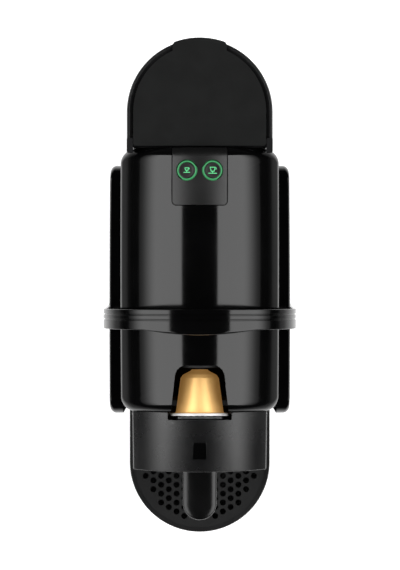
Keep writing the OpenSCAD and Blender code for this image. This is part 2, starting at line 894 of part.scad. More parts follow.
module coffee_capsule() {
  color([0.85, 0.62, 0.3]) at_capsule() difference() {
    rotate_extrude() polygon([[0, 0], [cap_rim_r, 0], [cap_rim_r, 0.5], [14.75, 0.9],
      [11.75, 22.4], [10.6, 24.2], [5.2, 27.2], [4.6, 27.5], [0, 27.5]]);
    rotate_extrude() translate([0, -eps]) polygon([[0, 0], [14.2, 0], [11.2, 22],
      [10.2, 23.6], [4.6, 26.9], [0, 26.9]]);
  }
}

// Foil lid with its rolled edge
module capsule_foil() {
  color([0.85, 0.85, 0.85]) at_capsule() difference() {
    translate([0, 0, -1]) cylinder(r = cap_rim_r, h = 1);
    translate([0, 0, -1.5]) cylinder(r = cap_rim_r - 1.6, h = 1.2);
  }
}

base_chassis();
rubber_feet();
body_shell();
top_cover();
left_side_panel();
right_side_panel();
front_head_cover();
head_badge();
coffee_spout();
coffee_funnel();
capsule_guide();
extraction_plate();
drop_chute();
guide_rods();
button_panel();
espresso_light_ring();
lungo_light_ring();
button_board();
main_board();
board_screws();
housing_screws();
thermoblock();
thermal_fuses();
injector_pipe();
water_pump();
pump_mounts();
flow_meter();
flow_rotor();
inlet_tube();
pump_tube();
pressure_tube();
dock_spigot();
dock_seal();
cord_gland();
pivot_bushes();
lever_handle();
lever_shaft();
brew_piston();
slot_shutter();
piercing_blades();
cage_seal();
espresso_button();
espresso_icon();
lungo_button();
lungo_icon();
water_tank();
tank_valve();
tank_filter();
valve_poppet();
valve_spring();
tank_lid();
lid_pins();
drip_tray();
used_capsule_container();
cup_support();
cup_support_pin();
coffee_capsule();
capsule_foil();
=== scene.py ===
import json
import math

import bmesh
import bpy
from mathutils import Matrix, Vector
from mathutils.geometry import tessellate_polygon


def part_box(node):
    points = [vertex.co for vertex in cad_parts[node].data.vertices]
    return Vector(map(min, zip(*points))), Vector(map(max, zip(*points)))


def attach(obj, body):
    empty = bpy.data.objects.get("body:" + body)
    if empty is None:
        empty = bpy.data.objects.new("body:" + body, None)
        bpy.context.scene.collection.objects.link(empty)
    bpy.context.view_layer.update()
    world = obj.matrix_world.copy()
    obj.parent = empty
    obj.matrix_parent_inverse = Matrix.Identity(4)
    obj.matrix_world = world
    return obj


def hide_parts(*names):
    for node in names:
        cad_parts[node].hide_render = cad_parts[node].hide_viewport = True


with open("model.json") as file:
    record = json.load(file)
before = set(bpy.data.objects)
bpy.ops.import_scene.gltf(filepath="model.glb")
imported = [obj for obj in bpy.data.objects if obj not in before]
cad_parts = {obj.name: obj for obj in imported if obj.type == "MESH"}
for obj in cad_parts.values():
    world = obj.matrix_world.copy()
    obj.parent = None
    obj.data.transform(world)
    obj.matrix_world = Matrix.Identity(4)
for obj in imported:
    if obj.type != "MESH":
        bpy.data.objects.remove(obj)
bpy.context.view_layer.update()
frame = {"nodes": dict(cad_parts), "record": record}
MM = 0.001
record = frame["record"]
BODY_OF = {n: b for b, names in record["behaviour"]["bodies"].items() for n in names}
SLOT_OF = {s["node"]: s["material_slot"] for s in record["subparts"]}


def box_mm(node):
    """A CAD node's corners in millimetres."""
    lo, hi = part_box(node)
    return Vector(lo) / MM, Vector(hi) / MM


# ---------------------------------------------------------------- outlines
# An outline is a closed counter-clockwise list of (x, y, nx, ny) with outward normals.


def arc(cx, cy, r, a0, a1, n):
    """n equal steps from a0 to a1 degrees, both ends included."""
    pts = []
    for i in range(n + 1):
        a = math.radians(a0 + (a1 - a0) * i / n)
        pts.append((cx + r * math.cos(a), cy + r * math.sin(a), math.cos(a), math.sin(a)))
    return pts


def line(x0, y0, x1, y1, step):
    """Points strictly between two ends, with the normal to the right of the run."""
    length = math.hypot(x1 - x0, y1 - y0)
    n = max(1, int(round(length / step)))
    nx, ny = (y1 - y0) / length, -(x1 - x0) / length
    return [
        (x0 + (x1 - x0) * i / n, y0 + (y1 - y0) * i / n, nx, ny) for i in range(1, n)
    ]


def round_rect(x0, x1, y0, y1, radii, n=12, step=3.0):
    """radii: lower right, upper right, upper left, lower left."""
    a, b, c, d = radii
    out = line(x0 + d, y0, x1 - a, y0, step)
    out += arc(x1 - a, y0 + a, a, -90, 0, n)
    out += line(x1, y0 + a, x1, y1 - b, step)
    out += arc(x1 - b, y1 - b, b, 0, 90, n)
    out += line(x1 - b, y1, x0 + c, y1, step)
    out += arc(x0 + c, y1 - c, c, 90, 180, n)
    out += line(x0, y1 - c, x0, y0 + d, step)
    out += arc(x0 + d, y0 + d, d, 180, 270, n)
    return out


def d_outline(r, cy, y0, corner, n=64, step=3.0):
    """Round towards +Y about (0, cy), straight at y0; towards -Y if y0 > cy."""
    flip = -1 if y0 > cy else 1
    cy, y0 = flip * cy, flip * y0
    out = line(-r + corner, y0, r - corner, y0, step)
    out += arc(r - corner, y0 + corner, corner, -90, 0, 8)
    out += line(r, y0 + corner, r, cy, step)
    out += arc(0, cy, r, 0, 180, n)
    out += line(-r, cy, -r, y0 + corner, step)
    out += arc(-r + corner, y0 + corner, corner, 180, 270, 8)
    return [(flip * x, flip * y, flip * nx, flip * ny) for x, y, nx, ny in out]


def circle(r, n=96, cx=0.0, cy=0.0):
    return arc(cx, cy, r, 0, 360, n)[:-1]


def flat(outline):
    """An outline's points without their normals."""
    return [(x, y) for x, y, _, _ in outline]


def rounded_profile(points, n=5):
    """(inset, height, radius) corners to a polyline with those corners rounded."""
    out = []
    for i, (u, v, r) in enumerate(points):
        if r <= 0 or i in (0, len(points) - 1):
            out.append((u, v))
            continue
        p = Vector((u, v))
        a = (Vector(points[i - 1][:2]) - p).normalized()
        b = (Vector(points[i + 1][:2]) - p).normalized()
        half = a.angle(b) / 2
        reach = r / math.tan(half)
        centre = p + (a + b).normalized() * (r / math.sin(half))
        s, e = p + a * reach - centre, p + b * reach - centre
        turn = s.angle_signed(e)
        for k in range(n + 1):
            q = s.copy()
            q.rotate(Matrix.Rotation(-turn * k / n, 2))
            out.append(tuple(centre + q))
    return out


# ---------------------------------------------------------------- mesh building


class Build:
    """Collects rings of vertices in millimetres and turns them into an object."""

    def __init__(self):
        self.v, self.f = [], []

    def ring(self, pts):
        start = len(self.v)
        self.v += [tuple(p) for p in pts]
        return list(range(start, start + len(pts)))

    def bridge(self, a, b):
        n = len(a)
        for i in range(n):
            j = (i + 1) % n
            self.f.append((a[i], a[j], b[j], b[i]))

    def cap(self, ring):
        self.f.append(tuple(ring))

    def stack(self, rings, cap0=True, cap1=True):
        ids = [self.ring(r) for r in rings]
        for a, b in zip(ids, ids[1:]):
            self.bridge(a, b)
        if cap0:
            self.cap(ids[0][::-1])
        if cap1:
            self.cap(ids[-1])

    def add(self, other):
        start = len(self.v)
        self.v += other.v
        self.f += [tuple(i + start for i in f) for f in other.f]


def mesh_object(name, build, place=None):
    """Makes the object; place maps a drawn point to the frame, both in millimetres."""
    pts = [place(p) if place else p for p in build.v]
    me = bpy.data.meshes.new(name)
    me.from_pydata([(x * MM, y * MM, z * MM) for x, y, z in pts], [], build.f)
    bm = bmesh.new()
    bm.from_mesh(me)
    bmesh.ops.remove_doubles(bm, verts=bm.verts, dist=2e-6)
    bmesh.ops.dissolve_degenerate(bm, edges=bm.edges, dist=1e-6)
    bmesh.ops.recalc_face_normals(bm, faces=bm.faces)
    bm.to_mesh(me)
    bm.free()
    obj = bpy.data.objects.new(name, me)
    bpy.context.scene.collection.objects.link(obj)
    return obj


def evaluate(obj):
    """Applies the object's modifiers."""
    dg = bpy.context.evaluated_depsgraph_get()
    me = bpy.data.meshes.new_from_object(obj.evaluated_get(dg))
    obj.modifiers.clear()
    obj.data = me


def cut(obj, *cutters, union=False):
    """Takes the cutters out of the object, or joins them to it, and removes them."""
    for c in cutters:
        m = obj.modifiers.new("cut", "BOOLEAN")
        m.operation = "UNION" if union else "DIFFERENCE"
        m.solver = "MANIFOLD"
        m.object = c
        evaluate(obj)
        bpy.data.objects.remove(c, do_unlink=True)


def smooth(obj, angle):
    me = obj.data
    for p in me.polygons:
        p.use_smooth = True
    me.set_sharp_from_angle(angle=math.radians(angle))


def bevel(obj, width, segments, angle):
    m = obj.modifiers.new("edges", "BEVEL")
    m.width = width * MM
    m.segments = segments
    m.limit_method = "ANGLE"
    m.angle_limit = math.radians(angle)
    m.use_clamp_overlap = True
    m.miter_outer = "MITER_ARC"


def weighted(obj):
    m = obj.modifiers.new("normals", "WEIGHTED_NORMAL")
    m.keep_sharp = True
    m.weight = 60


def settle(obj, nodes, material, edge=None, segments=3, angle=35):
    """Gives a piece its finish and its body, and hides the CAD nodes it stands for."""
    if edge:
        bevel(obj, edge, segments, angle)
        evaluate(obj)
    smooth(obj, angle)
    weighted(obj)
    obj.data.materials.clear()
    obj.data.materials.append(material)
    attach(obj, BODY_OF[nodes[0]])
    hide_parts(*nodes)
    return obj


def refined(node, material, edge, segments, angle=32):
    """The CAD node's own shape with its edges eased."""
    src = frame["nodes"][node]
    obj = bpy.data.objects.new(node + "_shape", src.data.copy())
    obj.matrix_world = src.matrix_world.copy()
    bpy.context.scene.collection.objects.link(obj)
    bm = bmesh.new()
    bm.from_mesh(obj.data)
    bmesh.ops.remove_doubles(bm, verts=bm.verts, dist=5e-6)
    bmesh.ops.dissolve_limit(
        bm, angle_limit=math.radians(0.6), verts=bm.verts, edges=bm.edges
    )
    bmesh.ops.recalc_face_normals(bm, faces=bm.faces)
    bm.to_mesh(obj.data)
    bm.free()
    return settle(obj, [node], material, edge, segments, angle)


def dome(outline, top, easing, bottom, spine, n_fillet, n_in):
    """Closed piece: a vertical wall under a curved top, eased where they meet.

    top(x, y) is the height of the top, easing(nx, ny) the radius of its edge, bottom(x, y)
    the underside, and spine(x, y) the point that the top's rings close towards.
    """
    b = Build()
    rings = [[(x, y, bottom(x, y)) for x, y, _, _ in outline]]
    base = []
    for k in range(n_fillet + 1):
        a = math.pi / 2 * k / n_fillet
        ring = []
        for x, y, nx, ny in outline:
            r = easing(nx, ny)
            d = r * (1 - math.cos(a))
            px, py = x - nx * d, y - ny * d
            ring.append((px, py, top(px, py) - r * (1 - math.sin(a))))
        rings.append(ring)
        base = ring
    for k in range(1, n_in + 1):
        t = k / n_in
        ring = []
        for px, py, _ in base:
            sx, sy = spine(px, py)
            qx, qy = px + (sx - px) * t, py + (sy - py) * t
            ring.append((qx, qy, top(qx, qy)))
        rings.append(ring)
    b.stack(rings, cap0=True, cap1=False)
    return b


def swept(outline, profile, caps=(True, True)):
    """Carries an (inset, height) profile round an outline."""
    b = Build()
    b.stack(
        [[(x - nx * d, y - ny * d, z) for x, y, nx, ny in outline] for d, z in profile],
        *caps,
    )
    return b


def prism(outlines, z0, z1):
    """Flat piece from an outer outline and any holes, each a list of (x, y)."""
    b = Build()
    loops = [[Vector((x, y, 0)) for x, y in o] for o in outlines]
    corners = [p for loop in loops for p in loop]
    tris = tessellate_polygon(loops)
    lower = b.ring([(p.x, p.y, z0) for p in corners])
    upper = b.ring([(p.x, p.y, z1) for p in corners])
    for a, c, d in tris:
        b.f.append((lower[a], lower[c], lower[d]))
        b.f.append((upper[a], upper[d], upper[c]))
    k = 0
    for o in outlines:
        n = len(o)
        for i in range(n):
            i0, i1 = k + i, k + (i + 1) % n
            b.f.append((lower[i0], lower[i1], upper[i1], upper[i0]))
        k += n
    return b


def along_x(y, z):
    """Maps a point drawn about Z to an axis along X through (y, z)."""
    return lambda p: (p[2], y + p[0], z + p[1])


def between(value, lo, hi):
    return min(max(value, lo), hi)


# ---------------------------------------------------------------- materials


def new_material(name):
    m = bpy.data.materials.new(name)
    m.use_nodes = True
    nt = m.node_tree
    return m, nt, nt.nodes["Principled BSDF"]


def noise_node(nt, scale, detail, rough=0.5):
    tc = nt.nodes.get("coords") or nt.nodes.new("ShaderNodeTexCoord")
    tc.name = "coords"
    n = nt.nodes.new("ShaderNodeTexNoise")
    n.inputs["Scale"].default_value = scale
    n.inputs["Detail"].default_value = detail
    n.inputs["Roughness"].default_value = rough
    nt.links.new(tc.outputs["Object"], n.inputs["Vector"])
    return n


def ramp(nt, source, lo, hi, pos=(0.35, 0.65)):
    """Turns the source's values between the two ends of pos into lo to hi."""
    r = nt.nodes.new("ShaderNodeMapRange")
    r.inputs["From Min"].default_value = pos[0]
    r.inputs["From Max"].default_value = pos[1]
    r.inputs["To Min"].default_value = lo
    r.inputs["To Max"].default_value = hi
    nt.links.new(source, r.inputs["Value"])
    return r.outputs["Result"]


MOTTLE_SCALE = 90.0
SMEAR_SCALE = 26.0
SMOOTHEST = 0.02


def finish(name, base, rough, *, spread=0.03, grain=None, wave=None, vary=0.12, metallic=0.0,
           specular=0.5, emit=None, emit_strength=0.0, ior=1.5, transmission=0.0):
    """Moulded or metal surface: mottled colour, uneven gloss, optional grain and waviness.

    wave and grain are (noise scale, height in millimetres).
    """
    m, nt, p = new_material(name)
    p.inputs["Metallic"].default_value = metallic
    p.inputs["Specular IOR Level"].default_value = specular
    p.inputs["IOR"].default_value = ior
    p.inputs["Transmission Weight"].default_value = transmission
    mottle = noise_node(nt, MOTTLE_SCALE, 4.0)
    mix = nt.nodes.new("ShaderNodeMix")
    mix.data_type = "RGBA"
    mix.inputs["A"].default_value = (*[c * (1 - vary) for c in base], 1)
    mix.inputs["B"].default_value = (*[min(1, c * (1 + vary)) for c in base], 1)
    nt.links.new(ramp(nt, mottle.outputs["Fac"], 0, 1), mix.inputs["Factor"])
    nt.links.new(mix.outputs["Result"], p.inputs["Base Color"])
    smear = noise_node(nt, SMEAR_SCALE, 5.0, 0.6)
    nt.links.new(
        ramp(nt, smear.outputs["Fac"], max(SMOOTHEST, rough - spread), rough + spread),
        p.inputs["Roughness"],
    )
    last = None
    for scale, height in [s for s in (wave, grain) if s]:
        tex = noise_node(nt, scale, 2.0)
        bump = nt.nodes.new("ShaderNodeBump")
        bump.inputs["Strength"].default_value = 1.0
        bump.inputs["Distance"].default_value = height * MM
        nt.links.new(tex.outputs["Fac"], bump.inputs["Height"])
        if last:
            nt.links.new(last.outputs["Normal"], bump.inputs["Normal"])
        last = bump
    if last:
        nt.links.new(last.outputs["Normal"], p.inputs["Normal"])
    if emit:
        p.inputs["Emission Color"].default_value = (*emit, 1)
        p.inputs["Emission Strength"].default_value = emit_strength
    return m


GLOSS = finish("gloss_black", (0.0015, 0.0015, 0.0016), 0.10, spread=0.02, wave=(60.0, 0.004))
SATIN = finish("satin_black", (0.004, 0.004, 0.0042), 0.34, grain=(2600.0, 0.012))
HEAD_SATIN = finish("satin_head", (0.004, 0.004, 0.0042), 0.28, specular=0.85,
                    grain=(2600.0, 0.005))
SPOUT_SATIN = finish("satin_spout", (0.002, 0.002, 0.0021), 0.22, grain=(2600.0, 0.004))
SATIN_SOFT = finish("satin_panel", (0.005, 0.005, 0.005), 0.36, grain=(2600.0, 0.012))
MATTE = finish("matte_grey", (0.0062, 0.0065, 0.0064), 0.62, specular=0.12, grain=(3200.0, 0.016))
DEEP = finish("inner_black", (0.01, 0.01, 0.01), 0.5, grain=(1800.0, 0.02))
INNER = finish("inner_plastic", (0.04, 0.04, 0.042), 0.5, grain=(1800.0, 0.02))
NYLON = finish("nylon", (0.66, 0.65, 0.6), 0.45, grain=(1500.0, 0.015))
RUBBER = finish("rubber", (0.018, 0.018, 0.018), 0.78, grain=(2200.0, 0.03))
SILICONE = finish("silicone", (0.72, 0.71, 0.66), 0.35, transmission=0.25, ior=1.41)
STEEL = finish("steel", (0.55, 0.55, 0.56), 0.28, metallic=1.0, grain=(900.0, 0.004))
ZINC = finish("zinc_screws", (0.66, 0.66, 0.64), 0.33, metallic=1.0)
CAST = finish("cast_alloy", (0.56, 0.56, 0.57), 0.5, metallic=1.0, grain=(700.0, 0.04))
RIM = finish("smoked_rim", (0.012, 0.012, 0.0125), 0.2, grain=(2000.0, 0.004))
GRID = finish("grid_grey", (0.0035, 0.0036, 0.0037), 0.45, specular=0.32, grain=(3000.0, 0.012))
IRON = finish("pump_iron", (0.12, 0.12, 0.13), 0.45, metallic=0.6, grain=(900.0, 0.02))
BOARD = finish("circuit_board", (0.02, 0.12, 0.05), 0.35, vary=0.35, grain=(500.0, 0.03))
ROTOR = finish("rotor", (0.5, 0.06, 0.04), 0.4)
# painted light: the gold capsule gets a faint orange emission to look brighter, though it is no
# lamp
GOLD_PAINTED_GLOW = finish("gold_foil", (0.95, 0.60, 0.23), 0.48, metallic=0.5, spread=0.05, vary=0.05,
              grain=(1400.0, 0.004), emit=(0.9, 0.45, 0.12), emit_strength=0.2)
FOIL = finish("foil", (0.88, 0.88, 0.87), 0.45, metallic=0.35, vary=0.04, grain=(700.0, 0.01))
LIT = finish("lit_ring", (0.03, 0.16, 0.07), 0.35, emit=(0.08, 0.50, 0.17), emit_strength=0.42)
LIT_ICON = finish("lit_icon", (0.05, 0.3, 0.12), 0.35, emit=(0.13, 0.72, 0.28),
                  emit_strength=0.7)
BUTTON = finish("button_black", (0.004, 0.0045, 0.004), 0.3, grain=(2600.0, 0.01))
SMOKED = finish("smoked_tank", (0.035, 0.035, 0.037), 0.08, spread=0.02, transmission=0.85,
                ior=1.49, wave=(40.0, 0.01))

# ---------------------------------------------------------------- top cover

cover_lo, cover_hi = box_mm("top_cover")
panel_lo, panel_hi = box_mm("button_panel")
ARCH_R = 58.4
CROWN_R = 588.0
CROWN_Y = 25.0
CROWN_TOP = 216.0
FRONT_EDGE, REAR_EDGE = 6.5, 7.0
WALL = 2.5
OVER = 5.0  # how far a cutter runs past the face it cuts
ABOVE_COVER = 230.0
SLOT_DEPTH_Z = 160.0
SLOT_FLARE, SLOT_R, SLOT_ARC_X, SLOT_ARC_Y = 7.0, 7.0, 7.85, -45.0
SLOT_FRONT_Y = -75.0
PANEL_GAP = 0.3
PANEL_SEAT_Z = 203.0
PANEL_HOLE_R = 3.0


def cover_height(x, y, inset=0.0):
    """Height of the crowned arch, or of the one that lies inset below it."""
    rho = CROWN_R - ARCH_R + math.sqrt(max(0.0, (ARCH_R - inset) ** 2 - x * x))
    return CROWN_TOP - CROWN_R + math.sqrt(rho * rho - (y - CROWN_Y) ** 2)


def cover_blank(inset, front, rear, side, corner, bottom):
    """front, rear and side are the radii of the top's edges, corner that of the plan."""
    x1 = cover_hi.x - inset
    y0, y1 = cover_lo.y + inset, cover_hi.y - inset
    outline = round_rect(-x1, x1, y0, y1, (corner,) * 4, n=14, step=2.0)

    def easing(nx, ny):
        end = front if ny < 0 else rear
        return side + (end - side) * abs(ny) ** 1.5

    def spine(x, y):
        return 0.0, between(y, y0 + 30, y1 - 30)

    return dome(outline, lambda x, y: cover_height(x, y, inset), easing,
                lambda x, y: bottom, spine, n_fillet=10, n_in=30)


def cover_edge_height(x, y):
    """The cover's height with its rounded rear edge."""
    z = cover_height(x, y)
    r = REAR_EDGE
    over = y - (cover_hi.y - r)
    return z if over <= 0 else z - r + math.sqrt(max(0.0, r * r - over * over))


def block(x0, x1, y0, y1, z0, z1, radii=(0.01,) * 4):
    return swept(round_rect(x0, x1, y0, y1, radii, n=10, step=400), [(0, z0), (0, z1)])


def slot_outline():
    """Bell shape: rounded towards the buttons, flaring towards the front edge."""
    side = arc(SLOT_ARC_X, SLOT_ARC_Y, SLOT_R, SLOT_FLARE, 90, 16)
    start_x, start_y = side[0][:2]
    mouth_x = start_x + (start_y - SLOT_FRONT_Y) * math.tan(math.radians(SLOT_FLARE))
    right = [(mouth_x, SLOT_FRONT_Y, 1, 0)] + side
    return right + [(-x, y, -nx, ny) for x, y, nx, ny in reversed(right)]


cover = mesh_object(
    "top_cover_shell",
    cover_blank(0.0, FRONT_EDGE, REAR_EDGE, side=1.3, corner=8.5, bottom=cover_lo.z),
)
inner = mesh_object(
    "cut_inner",
    cover_blank(WALL, 0.5, REAR_EDGE - WALL, side=0.5, corner=6.0, bottom=cover_lo.z - OVER),
)
slot = mesh_object(
    "cut_slot", swept(slot_outline(), [(0, SLOT_DEPTH_Z), (0, ABOVE_COVER)])
)
panel_hole = mesh_object(
    "cut_panel",
    block(panel_lo.x - PANEL_GAP, panel_hi.x + PANEL_GAP, panel_lo.y - PANEL_GAP, 100,
          PANEL_SEAT_Z, ABOVE_COVER, (PANEL_HOLE_R,) * 4),
)
cut(cover, inner, slot, panel_hole)
settle(cover, ["top_cover"], GLOSS, edge=0.45, segments=3, angle=42)

# ---------------------------------------------------------------- button panel and buttons

BUTTON_X = 7.8
BUTTON_Y = 79.4
TILT_X, TILT_Y = math.radians(-5.3), math.radians(7.7)
BUTTON_HOLE_R = 6.4
KEY_R, RING_R = 4.92, 5.75
PLATE_CORNER, PLATE_SQUARE = 2.7, 0.6
PLATE_EDGE = 0.45
ICON_T = 0.1
ICON_TOP = -0.22


def at_button(side):
    """Maps a point drawn about a button's centre to the frame."""
    turn = Matrix.Rotation(side * TILT_Y, 3, "Y") @ Matrix.Rotation(TILT_X, 3, "X")
    centre = Vector((side * BUTTON_X, BUTTON_Y, cover_height(BUTTON_X, BUTTON_Y)))
    return lambda p: tuple(turn @ Vector(p) + centre)


panel = mesh_object(
    "button_panel_plate",
    dome(
        round_rect(panel_lo.x, panel_hi.x, panel_lo.y, panel_hi.y - PANEL_GAP,
                   (PLATE_CORNER, PLATE_SQUARE, PLATE_SQUARE, PLATE_CORNER), n=8, step=1.5),
        cover_edge_height,
        lambda nx, ny: PLATE_EDGE,
        lambda x, y: cover_edge_height(x, y) - WALL,
        lambda x, y: (0.0, between(y, panel_lo.y + 10, panel_hi.y - 10)),
        n_fillet=4,
        n_in=16,
    ),
)
for s in (-1, 1):
    hole = swept(circle(BUTTON_HOLE_R), [(0, -12), (0, 8)])
    cut(panel, mesh_object("cut_button", hole, at_button(s)))
settle(panel, ["button_panel"], SATIN_SOFT, edge=0.3, segments=3, angle=42)


def cup_outlines(w_top, w_base, height, y0, t):
    """A cup mark's bowl, saucer, stem and handle in strokes t wide, as outlines for prism."""

    def tapered(half_low, low, half_high, high):
        return [(-half_low, low), (half_low, low), (half_high, high), (-half_high, high)]

    bowl_out = tapered(w_base / 2, y0, w_top / 2, y0 + height)
    bowl_in = tapered(w_base / 2 - t * 0.9, y0 + t, w_top / 2 - t, y0 + height - t)
    saucer_y = y0 - 1.2
    saucer = tapered(w_top * 0.78, saucer_y, w_top * 0.70, saucer_y + t)
    stem = tapered(t * 0.5, y0 - 1.0, t * 0.5, y0 + 0.1)
    handle_x, handle_y, handle_r = w_top / 2 - 0.1, y0 + height * 0.66, height * 0.26
    handle = flat(arc(handle_x, handle_y, handle_r, -80, 80, 10))
    handle += flat(arc(handle_x, handle_y, handle_r - t, 80, -80, 10))
    return [[bowl_out, bowl_in], [saucer], [stem], [handle]]


def icon(name, node, side, marks):
    b = Build()
    for shapes in marks:
        b.add(prism(shapes, ICON_TOP - ICON_T, ICON_TOP))
    settle(mesh_object(name, b, at_button(side)), [node], LIT_ICON)


for s, word in ((-1, "espresso"), (1, "lungo")):
    cap = swept(
        circle(KEY_R, 72),
        rounded_profile([(2.92, -9.0, 0), (2.92, -3.2, 0), (0, -3.2, 0.2), (0, -0.2, 0.45),
                         (1.6, -0.34, 0.5), (4.9, -0.36, 0)]),
    )
    settle(mesh_object(word + "_key", cap, at_button(s)), [word + "_button"], BUTTON)
    ring = swept(
        circle(RING_R, 72),
        rounded_profile([(0, -13.5, 0), (0, -0.1, 0.25), (0.55, -0.1, 0.25),
                         (0.7, -1.2, 0), (0.7, -13.5, 0)], 4)
        + [(0, -13.5)],
        caps=(False, False),
    )
    settle(mesh_object(word + "_ring", ring, at_button(s)), [word + "_light_ring"], LIT)

icon("espresso_mark", "espresso_icon", -1,
     cup_outlines(w_top=2.7, w_base=1.7, height=1.9, y0=-0.3, t=0.42))
icon("lungo_mark", "lungo_icon", 1,
     cup_outlines(w_top=3.5, w_base=2.1, height=2.9, y0=-0.9, t=0.45))

# ---------------------------------------------------------------- side panels

ear_lo, ear_hi = box_mm("right_side_panel")
lever_hi = box_mm("lever_handle")[1]
lever_joint = next(j for j in record["behaviour"]["joints"] if j["name"] == "lever_swing")
PIVOT = Vector(lever_joint["pos_m"]) / MM
EAR_LOW_R, EAR_HIGH_R = 30.0, 12.5
EAR_RIM = 3.0
EAR_INNER_X, EAR_FLOOR_X = 48.05, 51.0
EAR_REACH = 95.0  # distance from the pivot at which each of the next two drops is reached
EAR_DROP_Y, EAR_DROP_Z = 0.5, 0.9
EAR_HOLE_R = 7.2
INSIDE_X, OUTSIDE_X = 40.0, 70.0  # cutters' ends, clear of the panels


def side_panel(name, node, side):
    """Hollow outer panel with the lever shaft's hole; side is 1 on the right."""

    def outward(p):
        return side * p[2], p[0], p[1]

    def bulge(y, z):
        u = (y - PIVOT.y) / EAR_REACH
        v = (z - PIVOT.z) / EAR_REACH
        return ear_hi.x - EAR_DROP_Y * u * u - EAR_DROP_Z * v * v

    def plan(inset, n, step):
        low, high = EAR_LOW_R - inset, EAR_HIGH_R - inset
        return round_rect(ear_lo.y + inset, ear_hi.y - inset, ear_lo.z + inset,
                          ear_hi.z - inset, (low, high, high, low), n=n, step=step)

    blank = dome(
        plan(0.0, 16, 3),
        bulge,
        lambda nx, ny: 0.8 + 3.2 * abs(nx) ** 2,
        lambda y, z: EAR_INNER_X,
        lambda y, z: ((ear_lo.y + ear_hi.y) / 2, (ear_lo.z + ear_hi.z) / 2),
        n_fillet=10,
        n_in=14,
    )
    obj = mesh_object(name, blank, outward)
    hollow = mesh_object(
        "cut_hollow", swept(plan(EAR_RIM, 12, 400), [(0, INSIDE_X), (0, EAR_FLOOR_X)]), outward
    )
    shaft_hole = swept(circle(EAR_HOLE_R, 64, PIVOT.y, PIVOT.z), [(0, INSIDE_X), (0, OUTSIDE_X)])
    eye = mesh_object("cut_eye", shaft_hole, outward)
    cut(obj, hollow, eye)
    settle(obj, [node], GLOSS, edge=0.3, segments=2, angle=42)


side_panel("right_panel_shell", "right_side_panel", 1)
side_panel("left_panel_shell", "left_side_panel", -1)

# ---------------------------------------------------------------- lever

LEVER_T = 2.0
BAND_T = 4.0
BAND_W = 12.0
SHOULDER = 186.0
SQUARE = 2.4
LIP = 3.0
LIP_R = 185.0
LIP_Z, LIP_HALF_X = 215.0, 33.0
EYE_R = 9.5
ARM_LOW, ARM_MID = 9.4, 7.0  # half widths just over the eye and further up
ARM_TAPER, ARM_NARROW = 35.0, 49.0  # heights over which it goes to the next width
GROOVES = (-0.15, 2.8)
GROOVE_Z, GROOVE_FADE = 150.0, 6.0
GROOVE_DEPTH = 0.62
GROOVE_SIDE = ((0.62, 0), (0.46, 0.25), (0.36, 0.85), (0.2, 1))  # (offset, share of the depth)
HOOP_STEPS = 150
LEVER_EDGE, LIP_EDGE = 0.5, 1.6


def superarch(hw, top, a):
    """A point of the squarish arch at angle a, as (x, z)."""
    c, s = math.cos(a), math.sin(a)
    return (
        hw * math.copysign(abs(c) ** (2 / SQUARE), c),
        SHOULDER + (top - SHOULDER) * max(0.0, s) ** (2 / SQUARE),
    )


def ease(a, b, t):
    """From a to b as t goes from 0 to 1, level at both ends."""
    return a + (b - a) * (t * t * (3 - 2 * t))


def arm_half_width(z):
    dz = z - PIVOT.z
    if dz < 0:
        return math.sqrt(max(0.0, EYE_R ** 2 - dz * dz))
    if dz < ARM_TAPER:
        return ease(ARM_LOW, ARM_MID, dz / ARM_TAPER)
    return ease(ARM_MID, BAND_W / 2, min(1.0, (dz - ARM_TAPER) / ARM_NARROW))


def lever_section(front, back, thick, groove, lip):
    """Closed loop of (y, depth below the outer face), always the same number of points."""
    r = min(LEVER_EDGE, thick * 0.42, front * 0.45, back * 0.45)
    ro = max(r, min(LIP_EDGE, lip * 0.5 + r)) if lip > 0 else r
    slack = 0.02  # keeps a groove's points off the corner arcs
    pts = []

    def corner(cy, cd, rad, a0):
        for k in range(6):
            a = math.radians(a0 + 90 * k / 5)
            pts.append((cy + rad * math.cos(a), cd - rad * math.sin(a)))

    corner(back - r, r, r, 0)
    across = GROOVE_SIDE + tuple((-off, share) for off, share in reversed(GROOVE_SIDE))
    for g in sorted(GROOVES, reverse=True):
        for off, share in across:
            y = between(g + off, -front + ro + slack, back - r - slack)
            pts.append((y, share * groove))
    corner(-front + ro, ro, ro, 90)
    corner(-front + r, thick - r, r, 180)
    corner(back - r, thick - r, r, 270)
    return pts


def lever_mesh():
    outer_hw, outer_top = lever_hi.x, lever_hi.z
    inner_hw, inner_top = outer_hw - LEVER_T, outer_top - BAND_T
    stations = []
    eye_angles = [math.radians(a) for a in (3, *range(10, 91, 10))]
    zs = [PIVOT.z - EYE_R * math.cos(a) for a in eye_angles]
    zs += [PIVOT.z + d for d in (4, 8, 12, 17, 22, 28, 34, 39, 42, 45, 50, 56, 61)]
    for z in zs:
        stations.append(((outer_hw, z), (inner_hw, z)))
    for i in range(HOOP_STEPS + 1):
        a = math.pi * i / HOOP_STEPS
        stations.append((superarch(outer_hw, outer_top, a), superarch(inner_hw, inner_top, a)))
    for z in reversed(zs):
        stations.append(((-outer_hw, z), (-inner_hw, z)))
    b = Build()
    rings = []
    for (xo, zo), (xi, zi) in stations:
        hw = arm_half_width(zo)
        lip = 0.0
        if zo > LIP_Z and abs(xo) < LIP_HALF_X:
            lip = max(0.0, math.sqrt(LIP_R ** 2 - xo * xo) - (LIP_R - LIP))
        up = between((zo - GROOVE_Z) / GROOVE_FADE, 0.0, 1.0)
        thick = math.hypot(xo - xi, zo - zi)
        ux, uz = (xi - xo) / thick, (zi - zo) / thick
        loop = lever_section(hw + lip, hw, thick, GROOVE_DEPTH * up, lip)
        rings.append([(xo + ux * d, PIVOT.y + y, zo + uz * d) for y, d in loop])
    b.stack(rings)
    return b


settle(mesh_object("lever_hoop", lever_mesh()), ["lever_handle"], GLOSS, angle=45)

# ---------------------------------------------------------------- head

